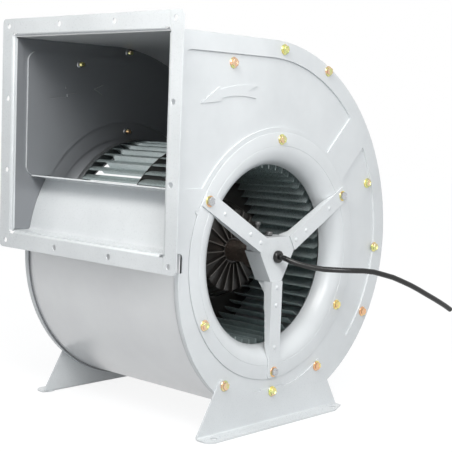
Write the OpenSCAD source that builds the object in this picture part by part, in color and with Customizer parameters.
// Double-inlet centrifugal blower with an external-rotor motor.
// Millimetres. The origin is on the floor, under the shaft and at mid width.
// +X runs along the shaft to the bracket side, the outlet faces -Y, and +Z is up.

/* [Housing] */
// Gap between the lowest point of the scroll and the floor
under_gap = 11; // [9:1:31]
// Width over the outer faces of the two side plates
housing_w = 296; // [292:1:312]
// Thickness of the housing sheet
sheet_t = 1.5; // [1.2:0.1:1.8]
// Gap between the blades and the scroll's first quarter, below the outlet
scroll_gap = 52; // [49:1:56]
// Growth of the radius into the scroll's second quarter
grow_low = 30; // [26:1:34]
// Growth of the radius into the scroll's third quarter
grow_back = 39; // [35:1:43]
// Length of the duct in front of the scroll, up to the mounting face
mouth_l = 26; // [24:1:40]
// Height of the duct floor over the shaft
duct_floor = 14.5; // [13:0.5:16]
// Depth of the pressed panels in the side plates
panel_d = 2.5; // [2:0.1:3]

/* [Outlet flange] */
// Width of the flange strips
flange_w = 22; // [20:1:26]
// Half the distance between the left and right rows of holes
flange_hole_x = 157; // [155:0.5:159]
// Half the distance between the top and bottom rows of holes
flange_hole_z = 141; // [139:0.5:143]
// Diameter of the flange holes
flange_hole_d = 7; // [5:0.5:8]

/* [Inlet rings] */
// How far the throat lies inside the blades' outer radius
throat_in = 21; // [20:0.5:23]
// Radius of the ring's rounded inlet
bell_r = 23; // [21:0.5:24]
// Width of the ring's flange outside the rounded inlet
ring_w = 19; // [17:0.5:21]

/* [Impeller] */
// Outer radius of the blades
blade_out_r = 138; // [134:0.5:139]
// Depth of the blades, from the outer to the inner radius
blade_d = 26; // [24:0.5:28]
// Half the width of the impeller
wheel_half_w = 120; // [112:1:121]
// Number of blades on each side
blade_count = 52; // [36:1:56]
// Radius of a blade's curve
blade_curve_r = 27; // [25:0.5:30]
// Thickness of a blade
blade_t = 1; // [0.8:0.1:1.2]

/* [Motor] */
// Outer radius of the rotor shell
rotor_r = 69; // [66:0.5:72]
// Radius of the rim of the finned cover
cover_rim_r = 54; // [50:0.5:57]
// Number of cooling fins on the motor cover
fin_count = 20; // [12:1:24]
// Radius of the fixed motor tube
tube_r = 14; // [13.5:0.1:15]
// Radius of the turning motor shaft
shaft_r = 4; // [3.8:0.1:4.2]

/* [Bracket] */
// Width of a bracket arm
arm_w = 21; // [20:0.5:24]
// Thickness of the bracket's sheet
bracket_t = 2; // [1.8:0.1:2.2]
// Depth of the skirts round the bracket's hub
hub_d = 26; // [22:1:28]

/* [Feet] */
// Length of a foot along the floor
foot_l = 274; // [266:2:290]
// Width of a foot's flange on the floor
foot_w = 24; // [22:1:30]
// Thickness of the feet
foot_t = 2; // [1.5:0.1:3]
// Half the distance between the two bolts of a foot
foot_bolt_y = 118; // [112:1:120]
// Diameter of the foot bolt holes
foot_bolt_d = 9; // [7:0.5:10]

/* [Motor lead] */
// Diameter of the motor lead
lead_d = 7; // [6:0.5:8]

/* [Hidden] */
$fn = 96;

// Clearance between pieces that don't move against each other
fit = 0.3;
// Running clearance of the shaft in its bearings
run_fit = 0.03;
// Overrun of a cut past the face that it opens
cut = 1;
// Length longer than anything in the model, for half planes
far = 900;

// Distance of the ring screws from the rounded inlet
ring_screw_in = 10;

// What follows from the impeller's radius
blade_in_r = blade_out_r - blade_d;
throat_r = blade_out_r - throat_in;
eye_r = throat_r + bell_r;
ring_r = eye_r + ring_w;
ring_screw_r = eye_r + ring_screw_in;
scroll_r = blade_out_r + scroll_gap;
outlet_y = scroll_r - grow_low / 2 + mouth_l;
axis_h = scroll_r + grow_low / 2 + under_gap;

// Scroll: three quarter circles on the corners of a small square, and straight walls
half_w = housing_w / 2;
in_x = half_w - sheet_t;
scroll_c1 = [grow_low / 2, -grow_low / 2];
scroll_c2 = [grow_low / 2, grow_low / 2];
scroll_c3 = [grow_low / 2 - grow_back, grow_low / 2];
scroll_r2 = scroll_r + grow_low;
scroll_r3 = scroll_r2 + grow_back;
scroll_top = scroll_c3[1] + scroll_r3;
scroll_front = scroll_c1[0] - scroll_r;
// Height of the seam over the wrapper, and its width along the shaft
seam_h = 2.5;
seam_w = 6;
wrap_h = seam_h + sheet_t;
duct_top = scroll_top - seam_h;
// The duct's edges lie a little behind the flange's face
duct_back = 3.5;
duct_y = duct_back - outlet_y;
face_y = sheet_t - outlet_y;
hem_l = 12;

// Notch in the front edge of the side plates, below the duct
notch_r = 6;
notch_low = -9;
notch_in = 6;

// Pressed panels
panel_border = 22;
panel_front = 1.5;
panel_low = 90;
panel_corner = 12;
pad_gap = 6;
pad_r = ring_r + pad_gap;
channel_half = 25;
// Turns of the two radial channels, above and below the level through the shaft
channel_turn = 45;

// Rotation arrow on an arc above the inlet
arrow_c = [-67.5, 30];
// Distance of the arrow's middle line from the top front screw
arrow_gap = 33.8;
arrow_head = [-26, -14.5];
arrow_tail = [6.5, 1.5];
arrow_half = 5;
arrow_barb = 9;
arrow_end_half = 8;
arrow_h = 1.2;
arrow_wall = 1;
arrow_steps = 5;

// Cut-off plate
tongue_in = 3;
tongue_r = scroll_r - tongue_in;
lip_z = 84;
lip_l = 24;
lip_rise = 4;

// Flange strips
flange_leg = 19.5;
flange_bend = 3;
flange_corner = 6;
flange_mid = (duct_top + duct_floor) / 2;
flange_x1 = half_w + flange_w;
flange_z0 = duct_floor - flange_w;
flange_z1 = duct_top + flange_w;

// Inlet ring
ring_face = half_w + sheet_t;
ring_lip_l = 2.5;
ring_tab_r = 3.5;
ring_tab_at = 157;

// Screws: the six ring places, and the groups of three on top, behind and at the foot
screw_r = 3;
screw_hole_r = 3.3;
screw_head_r = 5;
screw_head_h = 3.5;
washer_r = 6.9;
washer_t = 1;
nut_r = 5.5;
nut_t = 3;
screw_end = 5;
ring_angles = [30, 90, 150, 210, 270, 330];
arm_angles = [30, 150, 270];
own_angles = [90, 210, 330];
trio_half = 91;
trio_out = 21;
top_out = 22;
top_in = 33;
back_in = 42;
top_z = scroll_top - top_in;
back_y = scroll_c3[0] + scroll_r3 - back_in;
arrow_r = norm([-trio_half, top_z] - arrow_c) - arrow_gap;
// The foot's upper edge follows an arc round the ring, and its screws stay outside the arc
foot_arc_gap = 15.5;
foot_screw_out = 5.24;
foot_mid_out = 1.5;
foot_arc_r = ring_r + foot_arc_gap;
foot_z = -sqrt(pow(foot_arc_r + foot_screw_out, 2) - pow(trio_half, 2));
foot_mid_z = -foot_arc_r - foot_mid_out;
// Each place is [y, z, 1 where the head is sunk in a panel, 1 where the nut is on a panel]
top_screws = [[-trio_half, top_z, 1, 1], [0, top_z + top_out, 0, 0], [trio_half, top_z, 0, 0]];
back_screws = [[back_y, trio_half, 1, 1], [back_y + trio_out, 0, 0, 1], [back_y, -trio_half, 0, 0]];
foot_screws = [[-trio_half, foot_z, 0, 0], [0, foot_mid_z, 0, 0], [trio_half, foot_z, 0, 0]];

// Feet
foot_bend = 4;
foot_corner = 12;
// Slanting cut of the flange's back corner, across and along the foot
foot_cut = [12, 28];
foot_top_half = 101;
foot_top_in = 4;
foot_top_z = foot_z + foot_top_in;
foot_top_r = 10;
foot_step = 3;
foot_step_half = 22;
foot_bolt_x = 161;

// Bracket
arm_x = ring_face + fit / 3;
hub_x = arm_x - bracket_t - fit / 3;
arm_start = 32;
arm_past = 8;
arm_end = ring_screw_r + arm_past;
arm_corner = 3;
arm_deep = 13;
arm_shallow = 8;
bell_clear = 0.6;
leg_half = arm_w / 2 - bracket_t - fit / 2;
leg_end = 70;
// The hub's edges and an arm meet at this turn
hub_turn = 60;
leg_d = 12;
leg_taper = 48;
spot_r = 2;
spot_h = 0.6;
spot_at = [40, 63];

// Motor
cover_x0 = 42;
cover_x1 = 70;
cover_skirt_r = 66;
cover_t = 3;
fin_h = 5;
fin_t = 3;
fin_in_r = 17;
tube_t = 3;
tube_x0 = -40;
shell_x0 = -52;
shell_x1 = 38;
shell_t = 4;
core_x0 = -28;
core_x1 = 22;
rotor_core_r = 57;
air_gap = 1;
slot_count = 24;
slot_r = 2.5;
slot_at = 49;
winding_r = 8;
winding_at = 38;
bearing_t = 7;
bearing_x = [-30, 58];
shaft_x1 = 68;
disc_t = 2;
flange_ring_r = 84;
rotor_flange_t = 2;
rivet_r = 3;
rivet_h = 1.5;
rivet_count = 6;
rivet_at = 77;
clamp_x0 = 106;
clamp_r = 19;
// Clamp screws as [x, top height]
clamp_screws_at = [[113, 42], [134, 31]];
clamp_head_r = 4.6;
clamp_head_h = 5;
clamp_shank_r = 3;
clamp_hole_r = 5;

// End rings
end_ring_t = 1.5;
end_ring_w = 16;
end_ring_in_r = blade_out_r - end_ring_w;
end_band_w = 9;

// Grommet and motor lead
grommet_hole_r = 6.5;
grommet_r = 8.2;
grommet_t = 2.5;
grommet_back_r = 8;
lead_sides = 10;
// The lead's route from the grommet, with z counted from the shaft
lead_route = [[155, 0, 0], [162, 0.5, -0.8], [170, 2.5, -3.5], [179, 6.5, -6.4], [188, 12, -8.6],
    [197, 18, -10.2], [207, 24.5, -11.3], [216, 32, -11.6], [225, 41, -11.8], [233, 52, -12],
    [240, 65, -12.5], [246, 79, -14.4], [251, 93, -18.2], [255.5, 108, -22.4], [259.5, 123, -28.2],
    [263, 138, -34.2], [266, 153, -40.9], [268.5, 168, -48], [270.5, 183, -54.7],
    [272, 197, -61.2], [273, 209, -66.8], [274, 221, -73]];

paint = [0.85, 0.88, 0.91];
plain_sheet = [0.78, 0.8, 0.81];
yellow_zinc = [0.8, 0.68, 0.32];
bright_zinc = [0.82, 0.83, 0.84];
black_paint = [0.09, 0.09, 0.09];
bare_sheet = [0.72, 0.75, 0.74];
dark_steel = [0.4, 0.41, 0.42];
copper = [0.72, 0.42, 0.24];
rubber = [0.06, 0.06, 0.06];

// Puts what is drawn about the shaft at its height over the floor
module on_shaft() {
    translate([0, 0, axis_h]) children();
}

// Extrudes a (y, z) outline along +X from x0
module slab(x0, t) {
    translate([x0, 0, 0]) rotate([90, 0, 90]) linear_extrude(t) children();
}

// Turns an (r, x) outline about the shaft
module turned() {
    rotate([0, 90, 0]) rotate_extrude() children();
}

// A tube about the shaft
module tube(x0, x1, r_out, r_in) {
    slab(x0, x1 - x0) difference() {
        circle(r_out);
        circle(r_in);
    }
}

// A round bar along X at a (y, z) place
module bar(at, x0, x1, r) {
    translate([x0, at[0], at[1]]) rotate([0, 90, 0]) cylinder(h = x1 - x0, r = r);
}

module left_side() {
    mirror([1, 0, 0]) children();
}

// Scroll outlines

module quarter(c, r, toward_y, toward_z) {
    intersection() {
        translate(c) circle(r);
        translate([c[0] - (toward_y < 0 ? far : 0), c[1] - (toward_z < 0 ? far : 0)]) square(far);
    }
}

module scroll_2d(grow = 0) {
    front = scroll_front - grow;
    quarter(scroll_c1, scroll_r + grow, -1, -1);
    quarter(scroll_c2, scroll_r2 + grow, 1, -1);
    quarter(scroll_c3, scroll_r3 + grow, 1, 1);
    translate([front, scroll_c1[1]])
        square([scroll_c3[0] - front, scroll_top + grow - scroll_c1[1]]);
    translate([scroll_c3[0], scroll_c1[1]])
        square([scroll_c2[0] - scroll_c3[0], scroll_c2[1] - scroll_c1[1]]);
}

// The duct's part of the outline, from height z0 to z1
module neck_2d(z0, z1) {
    translate([duct_y, z0]) square([scroll_c3[0] - duct_y, z1 - z0]);
}

module notch_2d() {
    back = scroll_front + notch_in;
    translate([back - 2 * notch_r, notch_low])
        square([2 * notch_r, duct_floor - notch_low - notch_r]);
    translate([back - notch_r, duct_floor - notch_r]) circle(notch_r);
}

// Half plane on the side that angle a points to, moved out by d
module beyond_line(a, d) {
    rotate(a) translate([d, -far]) square([far, 2 * far]);
}

// Upper panel of a side plate
module upper_panel_2d(grow) {
    front = scroll_front - panel_front - grow;
    low = panel_low - grow;
    corner = panel_corner + grow;
    high = scroll_top - panel_border + grow;
    difference() {
        intersection() {
            union() {
                scroll_2d(grow - panel_border);
                translate([front, low]) square([scroll_c3[0] - front, high - low]);
            }
            beyond_line(3 * channel_turn, channel_half - grow);
            union() {
                translate([front + corner, low]) square(far);
                translate([front, low + corner])
                    square([2 * corner, high - low - 2 * corner]);
                translate([front + corner, low + corner]) circle(corner);
                translate([front + corner, high - corner]) circle(corner);
            }
        }
        circle(pad_r - grow);
    }
}

// Panel behind the inlet, between two radial channels
module back_panel_2d(grow) {
    difference() {
        intersection() {
            scroll_2d(grow - panel_border);
            beyond_line(-channel_turn, channel_half - grow);
            beyond_line(channel_turn, channel_half - grow);
        }
        circle(pad_r - grow);
    }
}

module panels_2d(grow) {
    upper_panel_2d(grow);
    back_panel_2d(grow);
}

function arc_point(a, off) = arrow_c + (arrow_r + off) * [sin(a), cos(a)];

function turn_of(length) = length / arrow_r * 180 / PI;

function between(a, b, i) = a + (b - a) * i / arrow_steps;

// The arrow's outline, or a smaller one that lies inside it by less
module arrow_2d(less = 0) {
    turn = turn_of(less);
    neck = arrow_head[1] - turn;
    tail = arrow_tail[0] - turn;
    half = arrow_half - less;
    end_half = arrow_end_half - less;
    upper = [for (i = [0 : arrow_steps]) arc_point(between(neck, tail, i), between(half, end_half, i))];
    lower = [for (i = [0 : arrow_steps]) arc_point(between(tail, neck, i), -between(end_half, half, i))];
    polygon(concat(
        [arc_point(arrow_head[0] + 2 * turn, 0), arc_point(neck, arrow_barb - 2 * less)],
        upper,
        [arc_point(arrow_tail[1] - turn, 0)],
        lower,
        [arc_point(neck, 2 * less - arrow_barb)]));
}

// Housing pieces

module each_place(places) {
    for (p = places) translate([p[0], p[1]]) children();
}

module each_angle(angles, r) {
    for (a = angles) rotate(a) translate([r, 0]) children();
}

module plate_2d() {
    difference() {
        union() {
            scroll_2d();
            neck_2d(duct_floor, scroll_top);
        }
        circle(eye_r);
        notch_2d();
        each_angle(ring_angles, ring_screw_r) circle(screw_hole_r);
        each_place(top_screws) circle(screw_hole_r);
        each_place(back_screws) circle(screw_hole_r);
        each_place(foot_screws) circle(screw_hole_r);
    }
}

// The plate's turned edge, which grips the wrapper
module seam_2d() {
    difference() {
        union() {
            scroll_2d();
            neck_2d(duct_top + fit, scroll_top);
        }
        scroll_2d(fit - seam_h);
        translate([-far, notch_low]) square([far + scroll_c3[0], duct_top + fit - notch_low]);
    }
}

module hem_2d() {
    translate([duct_y, duct_floor + 2 * sheet_t])
        square([hem_l, duct_top - duct_floor - 4 * sheet_t]);
}

module side_plate() {
    floor_x = in_x - panel_d;
    on_shaft() difference() {
        union() {
            slab(in_x, sheet_t) plate_2d();
            slab(in_x - seam_w, seam_w) seam_2d();
            slab(in_x - sheet_t, sheet_t) hem_2d();
            slab(floor_x, panel_d) panels_2d(sheet_t);
            slab(floor_x + sheet_t, arrow_h) arrow_2d();
        }
        difference() {
            slab(floor_x + sheet_t, panel_d + cut) panels_2d(0);
            slab(floor_x + sheet_t - cut, arrow_h + cut) arrow_2d();
        }
        slab(floor_x - cut, cut + arrow_h) arrow_2d(arrow_wall);
        slab(floor_x - cut, panel_d + 2 * cut) {
            each_place(top_screws) circle(screw_hole_r);
            each_place(back_screws) circle(screw_hole_r);
        }
    }
}

module side_plate_right() {
    color(paint) side_plate();
}

module side_plate_left() {
    color(paint) left_side() side_plate();
}

module scroll_wrapper() {
    x = in_x - fit;
    color(plain_sheet) on_shaft() slab(-x, 2 * x) {
        difference() {
            scroll_2d(-seam_h);
            scroll_2d(-wrap_h);
            translate([-far, duct_floor])
                square([far + scroll_c3[0], duct_top - sheet_t - duct_floor]);
        }
        neck_2d(duct_top - sheet_t, duct_top);
    }
}

module cutoff_plate() {
    x = in_x - fit;
    tongue_y = scroll_c1[0] - sqrt(pow(tongue_r, 2) - pow(duct_floor - scroll_c1[1], 2));
    top_y = scroll_c1[0] - sqrt(pow(tongue_r, 2) - pow(lip_z - scroll_c1[1], 2));
    color(paint) on_shaft() slab(-x, 2 * x) {
        translate([duct_y, duct_floor]) square([tongue_y + sheet_t - duct_y, sheet_t]);
        intersection() {
            difference() {
                translate(scroll_c1) circle(tongue_r);
                translate(scroll_c1) circle(tongue_r - sheet_t);
            }
            translate([tongue_y, duct_floor]) square([top_y - tongue_y + 3 * sheet_t, lip_z - duct_floor]);
        }
        polygon([[top_y, lip_z - sheet_t], [top_y + 2 * sheet_t, lip_z],
            [top_y + sheet_t, lip_z + sheet_t], [top_y - lip_l, lip_z + lip_rise + sheet_t],
            [top_y - lip_l, lip_z + lip_rise]]);
    }
}

// Outlet flange: four folded strips

// Folded strip, with its outward leg along +x and its back leg along +y
module angle_2d() {
    inner = flange_bend - sheet_t;
    translate([flange_bend, 0]) square([flange_w - flange_bend, sheet_t]);
    translate([0, flange_bend]) square([sheet_t, flange_leg - flange_bend]);
    intersection() {
        translate([flange_bend, flange_bend]) difference() {
            circle(flange_bend);
            circle(inner);
        }
        square(flange_bend);
    }
}

module hole_y(x, z, d) {
    translate([x, face_y + cut, z]) rotate([90, 0, 0]) cylinder(h = sheet_t + 2 * cut, d = d);
}

module flange_holes() {
    for (sx = [-1, 1], share = [-1, -1 / 3, 1 / 3, 1])
        hole_y(sx * flange_hole_x, flange_mid + share * flange_hole_z, flange_hole_d);
    for (sz = [-1, 1], share = [-1 / 3, 1 / 3])
        hole_y(share * flange_hole_x, flange_mid + sz * flange_hole_z, flange_hole_d);
}

// A level strip, lying on the outside of the duct wall at height z
module level_strip(z, up) {
    x = in_x - seam_w - fit;
    on_shaft() difference() {
        translate([0, 0, z]) scale([1, 1, up]) {
            translate([-x, -outlet_y, 0]) rotate([90, 0, 90]) linear_extrude(2 * x)
                mirror([1, -1]) angle_2d();
            translate([-half_w, -outlet_y, flange_bend])
                cube([2 * half_w, sheet_t, flange_w - flange_bend]);
        }
        flange_holes();
    }
}

module upright_strip() {
    on_shaft() difference() {
        union() {
            translate([half_w, -outlet_y, duct_floor + sheet_t])
                linear_extrude(scroll_top - duct_floor - 2 * sheet_t) angle_2d();
            translate([0, face_y, 0]) rotate([90, 0, 0]) linear_extrude(sheet_t) upright_2d();
        }
        flange_holes();
    }
}

module upright_2d() {
    r = flange_corner;
    x0 = half_w + flange_bend;
    translate([x0, flange_z0 + r]) square([flange_x1 - x0, flange_z1 - flange_z0 - 2 * r]);
    translate([x0, flange_z0]) square([flange_x1 - x0 - r, flange_z1 - flange_z0]);
    translate([flange_x1 - r, flange_z0 + r]) circle(r);
    translate([flange_x1 - r, flange_z1 - r]) circle(r);
    translate([half_w + fit, flange_z0]) square([flange_bend, duct_floor - flange_z0]);
    translate([half_w + fit, duct_top]) square([flange_bend, flange_z1 - duct_top]);
}

module flange_strip_top() {
    color(paint) level_strip(duct_top, 1);
}

module flange_strip_bottom() {
    color(paint) level_strip(duct_floor, -1);
}

module flange_strip_right() {
    color(paint) upright_strip();
}

module flange_strip_left() {
    color(paint) left_side() upright_strip();
}

// Inlet rings

module bell_2d() {
    r0 = throat_r + bell_r;
    x0 = ring_face - bell_r;
    translate([r0, half_w]) square([ring_r - r0, sheet_t]);
    intersection() {
        translate([r0, x0]) difference() {
            circle(bell_r);
            circle(bell_r - sheet_t);
        }
        translate([r0 - bell_r, x0]) square(bell_r);
    }
    translate([throat_r, x0 - ring_lip_l]) square([sheet_t, ring_lip_l]);
}

module inlet_ring() {
    on_shaft() difference() {
        union() {
            turned() bell_2d();
            slab(half_w, sheet_t) rotate(ring_tab_at) translate([ring_r + ring_tab_r / 2, 0]) circle(ring_tab_r);
        }
        slab(half_w - cut, sheet_t + 2 * cut) each_angle(ring_angles, ring_screw_r) circle(screw_hole_r);
    }
}

module inlet_ring_right() {
    color(paint) inlet_ring();
}

module inlet_ring_left() {
    color(paint) left_side() inlet_ring();
}

// Feet

module foot_2d() {
    difference() {
        union() {
            polygon([[-foot_top_half, foot_top_z], [-foot_l / 2, foot_bend - axis_h],
                [foot_l / 2, foot_bend - axis_h], [foot_top_half, foot_top_z]]);
            each_place([foot_screws[0], foot_screws[2]]) circle(foot_top_r);
        }
        difference() {
            circle(foot_arc_r);
            translate([-foot_step_half, -far]) square([2 * foot_step_half, far]);
        }
        circle(foot_arc_r - foot_step);
        each_place(foot_screws) circle(screw_hole_r);
    }
}

module foot() {
    outer = half_w + foot_w;
    x0 = half_w + foot_bend;
    l = foot_l - 2 * foot_corner;
    on_shaft() slab(half_w, foot_t) foot_2d();
    translate([0, foot_l / 2, 0]) rotate([90, 0, 0]) linear_extrude(foot_l) intersection() {
        translate([x0, foot_bend]) difference() {
            circle(foot_bend);
            circle(foot_bend - foot_t);
        }
        translate([half_w, 0]) square(foot_bend);
    }
    difference() {
        union() {
            translate([x0, -foot_l / 2, 0]) cube([outer - x0 - foot_corner, foot_l, foot_t]);
            translate([x0, -l / 2, 0]) cube([outer - x0, l, foot_t]);
            for (s = [-1, 1]) translate([outer - foot_corner, s * l / 2, 0]) cylinder(h = foot_t, r = foot_corner);
        }
        for (s = [-1, 1]) translate([foot_bolt_x, s * foot_bolt_y, -cut])
            cylinder(h = foot_t + 2 * cut, d = foot_bolt_d);
        translate([0, 0, -cut]) linear_extrude(foot_t + 2 * cut)
            polygon([[outer + cut, foot_l / 2 - foot_cut[1] - cut], [outer, foot_l / 2 - foot_cut[1]],
                [outer - foot_cut[0], foot_l / 2], [outer - foot_cut[0], foot_l / 2 + cut],
                [outer + cut, foot_l / 2 + cut]]);
    }
}

module foot_right() {
    color(paint) foot();
}

module foot_left() {
    color(paint) left_side() foot();
}

// Motor bracket

module hub_2d() {
    step = arm_w / 2 + fit;
    points = [for (a = arm_angles, p = [[arm_start - fit, -step], [arm_start - fit, -leg_half],
        [leg_end, -leg_half], [leg_end, leg_half], [arm_start - fit, leg_half], [arm_start - fit, step]])
        [p[0] * cos(a) - p[1] * sin(a), p[0] * sin(a) + p[1] * cos(a)]];
    polygon(points);
}

// Skirt of a leg, as a (distance, x) outline
module leg_skirt_2d() {
    polygon([[arm_start - bracket_t, 0], [leg_end, 0], [leg_end, -leg_d], [leg_taper, -leg_d],
        [arm_start - bracket_t, -hub_d]]);
}

// Stands a (distance, x) outline up as a wall of thickness t at the side offset s
module wall_along(s, t) {
    translate([0, s + t, 0]) rotate([90, 0, 0]) linear_extrude(t) children();
}

// Turns a piece that is drawn along +x and up z into the bracket's plane at depth x0
module in_bracket(a, x0) {
    translate([x0, 0, 0]) rotate([90, 0, 90]) rotate(a) children();
}

module bracket_hub() {
    edge_half = arm_start * sin(hub_turn) - (arm_w / 2) * cos(hub_turn);
    edge_at = arm_start * cos(hub_turn) + (arm_w / 2 + fit) * sin(hub_turn);
    web_x = hub_x + bracket_t;
    color(paint) on_shaft() difference() {
        union() {
            slab(hub_x, bracket_t) hub_2d();
            for (a = arm_angles) {
                in_bracket(a, web_x) {
                    wall_along(-leg_half, bracket_t) leg_skirt_2d();
                    wall_along(leg_half - bracket_t, bracket_t) leg_skirt_2d();
                }
                in_bracket(a + hub_turn, hub_x - hub_d + bracket_t)
                    translate([edge_at - bracket_t, -edge_half, 0])
                    cube([bracket_t, 2 * edge_half, hub_d]);
            }
        }
        bar([0, 0], hub_x - cut, web_x + cut, grommet_hole_r);
        translate([clamp_screws_at[1][0], 0, 0]) cylinder(h = edge_at + cut, r = clamp_hole_r);
    }
}

module arm_2d() {
    l = arm_end - arm_start;
    r = arm_corner;
    translate([arm_start, -arm_w / 2]) square([l - r, arm_w]);
    translate([arm_start, r - arm_w / 2]) square([l, arm_w - 2 * r]);
    for (s = [-1, 1]) translate([arm_end - r, s * (arm_w / 2 - r)]) circle(r);
}

module arm_skirt_2d() {
    polygon([[arm_start, 0], [throat_r + bell_r, 0], [throat_r + bell_r, -bracket_t],
        [throat_r, -arm_shallow], [arm_start, -arm_deep]]);
}

module bracket_arm(a) {
    color(paint) on_shaft() difference() {
        union() {
            in_bracket(a, arm_x) linear_extrude(bracket_t) difference() {
                arm_2d();
                translate([ring_screw_r, 0]) circle(screw_hole_r);
            }
            in_bracket(a, arm_x + bracket_t) {
                wall_along(-arm_w / 2, bracket_t) arm_skirt_2d();
                wall_along(arm_w / 2 - bracket_t, bracket_t) arm_skirt_2d();
            }
            for (s = spot_at) in_bracket(a, arm_x + fit) translate([s, 0, 0])
                cylinder(h = bracket_t + spot_h - fit, r = spot_r);
        }
        turned() translate([throat_r + bell_r, ring_face - bell_r]) circle(bell_r + bell_clear);
    }
}

module bracket_arm_1() {
    bracket_arm(arm_angles[0]);
}

module bracket_arm_2() {
    bracket_arm(arm_angles[1]);
}

module bracket_arm_3() {
    bracket_arm(arm_angles[2]);
}

// Screws

function polar(r, a) = [r * cos(a), r * sin(a)];

module screw(at, x, length) {
    bar(at, x, x + washer_t, washer_r);
    bar(at, x, x + washer_t + screw_head_h, screw_head_r);
    bar(at, x - length, x + washer_t, screw_r);
}

// A screw that is sunk in a panel starts lower, and the last of the top three stops in the plate
module plate_screws() {
    full = sheet_t + nut_t + screw_end;
    on_shaft() for (p = concat(top_screws, back_screws)) screw([p[0], p[1]],
        half_w - panel_d * p[2], p == top_screws[2] ? sheet_t : full + panel_d * (p[3] - p[2]));
}

module ring_screws(angles) {
    on_shaft() for (a = angles) screw(polar(ring_screw_r, a), ring_face, 2 * sheet_t + nut_t + screw_end);
}

module foot_screw_set() {
    on_shaft() for (p = foot_screws) screw([p[0], p[1]], half_w + foot_t,
        foot_t + sheet_t + nut_t + screw_end);
}

module nut(at, x) {
    slab(x - nut_t, nut_t) translate(at) difference() {
        circle(nut_r);
        circle(screw_r + run_fit);
    }
}

module screw_nuts() {
    on_shaft() {
        for (a = ring_angles) nut(polar(ring_screw_r, a), in_x - fit / 3);
        for (p = concat(foot_screws, back_screws, [top_screws[0], top_screws[1]]))
            nut([p[0], p[1]], in_x - fit / 3 - panel_d * p[3]);
    }
}

module plate_screws_right() {
    color(yellow_zinc) plate_screws();
}

module plate_screws_left() {
    color(yellow_zinc) left_side() plate_screws();
}

module ring_screws_right() {
    color(yellow_zinc) ring_screws(own_angles);
}

module ring_screws_left() {
    color(yellow_zinc) left_side() ring_screws(ring_angles);
}

module foot_screws_right() {
    color(yellow_zinc) foot_screw_set();
}

module foot_screws_left() {
    color(yellow_zinc) left_side() foot_screw_set();
}

module screw_nuts_right() {
    color(bright_zinc) screw_nuts();
}

module screw_nuts_left() {
    color(bright_zinc) left_side() screw_nuts();
}

module bracket_washers() {
    color(yellow_zinc) on_shaft() for (a = arm_angles)
        slab(arm_x + bracket_t, washer_t) translate(polar(ring_screw_r, a)) difference() {
            circle(washer_r);
            circle(screw_hole_r);
        }
}

module bracket_bolts() {
    x = arm_x + bracket_t + washer_t;
    color(bright_zinc) on_shaft() for (a = arm_angles) {
        bar(polar(ring_screw_r, a), x, x + screw_head_h, screw_head_r);
        bar(polar(ring_screw_r, a), in_x - nut_t - screw_end, x, screw_r);
    }
}

// Motor: what stands still

module shaft_clamp() {
    color(dark_steel) on_shaft() difference() {
        tube(clamp_x0, hub_x - fit / 3, clamp_r, tube_r + run_fit);
        for (s = clamp_screws_at) translate([s[0], 0, 0]) cylinder(h = clamp_r + cut, r = clamp_shank_r + run_fit);
    }
}

module clamp_screws() {
    color(bright_zinc) on_shaft() for (s = clamp_screws_at) translate([s[0], 0, 0]) {
        translate([0, 0, tube_r + fit]) cylinder(h = s[1] - tube_r - fit, r = clamp_shank_r);
        translate([0, 0, s[1] - clamp_head_h]) cylinder(h = clamp_head_h, r = clamp_head_r);
    }
}

module motor_tube() {
    color(dark_steel) on_shaft() tube(tube_x0, hub_x - fit, tube_r, tube_r - tube_t);
}

module fin_2d() {
    polygon([[fin_in_r, 0], [fin_in_r, fin_h], [cover_rim_r, fin_h], [cover_rim_r + fin_h / 2, 0]]);
}

module motor_cover() {
    color(black_paint) on_shaft() {
        difference() {
            turned() polygon([[tube_r + run_fit, cover_x1 - cover_t], [tube_r + run_fit, cover_x1],
                [cover_rim_r, cover_x1], [cover_skirt_r, cover_x0], [cover_skirt_r - cover_t, cover_x0],
                [cover_rim_r - cover_t, cover_x1 - cover_t]]);
        }
        for (i = [0 : fin_count - 1]) in_bracket(360 * i / fin_count, cover_x1)
            wall_along(-fin_t / 2, fin_t) fin_2d();
    }
}

module stator_core() {
    color(dark_steel) on_shaft() slab(core_x0, core_x1 - core_x0) difference() {
        circle(rotor_core_r - air_gap);
        circle(tube_r + run_fit);
        for (i = [0 : slot_count - 1]) rotate(360 * i / slot_count) translate([slot_at, 0]) circle(slot_r);
    }
}

module stator_windings() {
    color(copper) on_shaft() for (x = [core_x0 - winding_r, core_x1 + winding_r])
        turned() translate([winding_at, x]) circle(winding_r - fit);
}

module bearing(x) {
    on_shaft() tube(x, x + bearing_t, tube_r - tube_t - run_fit, shaft_r + run_fit);
}

module bearing_front() {
    color(bright_zinc) bearing(bearing_x[1]);
}

module bearing_rear() {
    color(bright_zinc) bearing(bearing_x[0]);
}

module cable_grommet() {
    front = hub_x + bracket_t;
    color(rubber) on_shaft() {
        bar([0, 0], front, lead_route[0][0], grommet_r);
        bar([0, 0], hub_x - fit / 3, front, grommet_hole_r - fit / 3);
    }
}

function sub(a, b) = a - b;

function ring_at(i) = let (
    n = len(lead_route) - 1,
    before = lead_route[max(i - 1, 0)],
    after = lead_route[min(i + 1, n)],
    way = i == 0 ? [1, 0, 0] : (after - before) / norm(after - before),
    side = cross(way, [0, 0, 1]) / norm(cross(way, [0, 0, 1])),
    top = cross(side, way))
    [for (k = [0 : lead_sides - 1])
        lead_route[i] + (lead_d / 2) * (cos(360 * k / lead_sides) * side + sin(360 * k / lead_sides) * top)];

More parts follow.
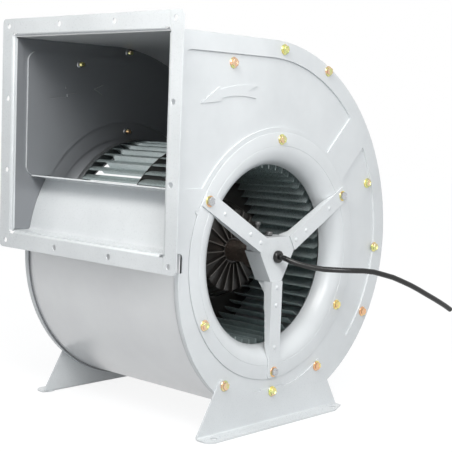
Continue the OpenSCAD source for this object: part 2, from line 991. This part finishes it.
module motor_lead() {
    n = len(lead_route);
    s = lead_sides;
    rings = [for (i = [0 : n - 1]) each ring_at(i)];
    sides = [for (i = [0 : n - 2], k = [0 : s - 1], t = [0, 1]) t == 0
        ? [i * s + k, i * s + (k + 1) % s, (i + 1) * s + k]
        : [i * s + (k + 1) % s, (i + 1) * s + (k + 1) % s, (i + 1) * s + k]];
    ends = [[for (k = [0 : s - 1]) s - 1 - k], [for (k = [0 : s - 1]) (n - 1) * s + k]];
    color(rubber) on_shaft() polyhedron(points = rings, faces = concat(sides, ends));
}

// Motor and impeller: what turns

module rotor_shell() {
    inner = rotor_r - shell_t;
    color(black_paint) on_shaft() turned() polygon([[shaft_r + run_fit, shell_x0], [rotor_r, shell_x0],
        [rotor_r, shell_x1], [inner, shell_x1], [inner, shell_x0 + shell_t], [shaft_r + run_fit, shell_x0 + shell_t]]);
}

// Ring round the shell that carries the impeller's disc
module rotor_flange() {
    color(black_paint) on_shaft() slab(disc_t / 2, rotor_flange_t) difference() {
        circle(flange_ring_r);
        circle(rotor_r + run_fit);
        rivet_places() circle(rivet_r + run_fit);
    }
}

module rivet_places() {
    for (i = [0 : rivet_count - 1]) rotate(360 * i / rivet_count) translate([rivet_at, 0]) children();
}

module rotor_core() {
    color(dark_steel) on_shaft() tube(core_x0, core_x1, rotor_r - shell_t - run_fit, rotor_core_r);
}

module motor_shaft() {
    color(bright_zinc) on_shaft() bar([0, 0], shell_x0, shaft_x1, shaft_r);
}

module impeller_disc() {
    color(black_paint) on_shaft() slab(-disc_t / 2, disc_t) difference() {
        circle(blade_out_r);
        circle(rotor_r + run_fit);
        rivet_places() circle(rivet_r + run_fit);
    }
}

module disc_rivets() {
    color(bright_zinc) on_shaft() {
        slab(-disc_t / 2 - rivet_h, rivet_h) rivet_places() circle(2 * rivet_r);
        slab(-disc_t / 2, disc_t + rotor_flange_t + rivet_h) rivet_places() circle(rivet_r);
    }
}

// Forward-curved blade: the hollow side leads as the wheel turns
module blade_2d() {
    intersection() {
        difference() {
            circle(blade_out_r);
            circle(blade_in_r);
        }
        translate([blade_in_r + blade_t, 0]) difference() {
            circle(blade_curve_r);
            circle(blade_curve_r - blade_t);
        }
        translate([0, -far]) square(far);
    }
}

module blade_row(x0) {
    length = wheel_half_w - end_ring_t - disc_t / 2;
    on_shaft() slab(x0, length) for (i = [0 : blade_count - 1]) rotate(360 * i / blade_count) blade_2d();
}

module blades_right() {
    color(bare_sheet) blade_row(disc_t / 2);
}

module blades_left() {
    color(bare_sheet) left_side() blade_row(disc_t / 2);
}

module end_ring() {
    face = wheel_half_w - end_ring_t;
    on_shaft() {
        tube(face, wheel_half_w, blade_out_r + fit + end_ring_t, end_ring_in_r);
        tube(wheel_half_w - end_band_w, face, blade_out_r + fit + end_ring_t, blade_out_r + fit);
    }
}

module end_ring_right() {
    color(dark_steel) end_ring();
}

module end_ring_left() {
    color(dark_steel) left_side() end_ring();
}

side_plate_right();
side_plate_left();
scroll_wrapper();
cutoff_plate();
flange_strip_top();
flange_strip_bottom();
flange_strip_right();
flange_strip_left();
inlet_ring_right();
inlet_ring_left();
foot_right();
foot_left();
bracket_hub();
bracket_arm_1();
bracket_arm_2();
bracket_arm_3();
bracket_bolts();
bracket_washers();
shaft_clamp();
clamp_screws();
motor_tube();
motor_cover();
stator_core();
stator_windings();
bearing_front();
bearing_rear();
cable_grommet();
motor_lead();
ring_screws_right();
ring_screws_left();
plate_screws_right();
plate_screws_left();
foot_screws_right();
foot_screws_left();
screw_nuts_right();
screw_nuts_left();
rotor_shell();
rotor_flange();
rotor_core();
motor_shaft();
impeller_disc();
blades_right();
blades_left();
end_ring_right();
end_ring_left();
disc_rivets();
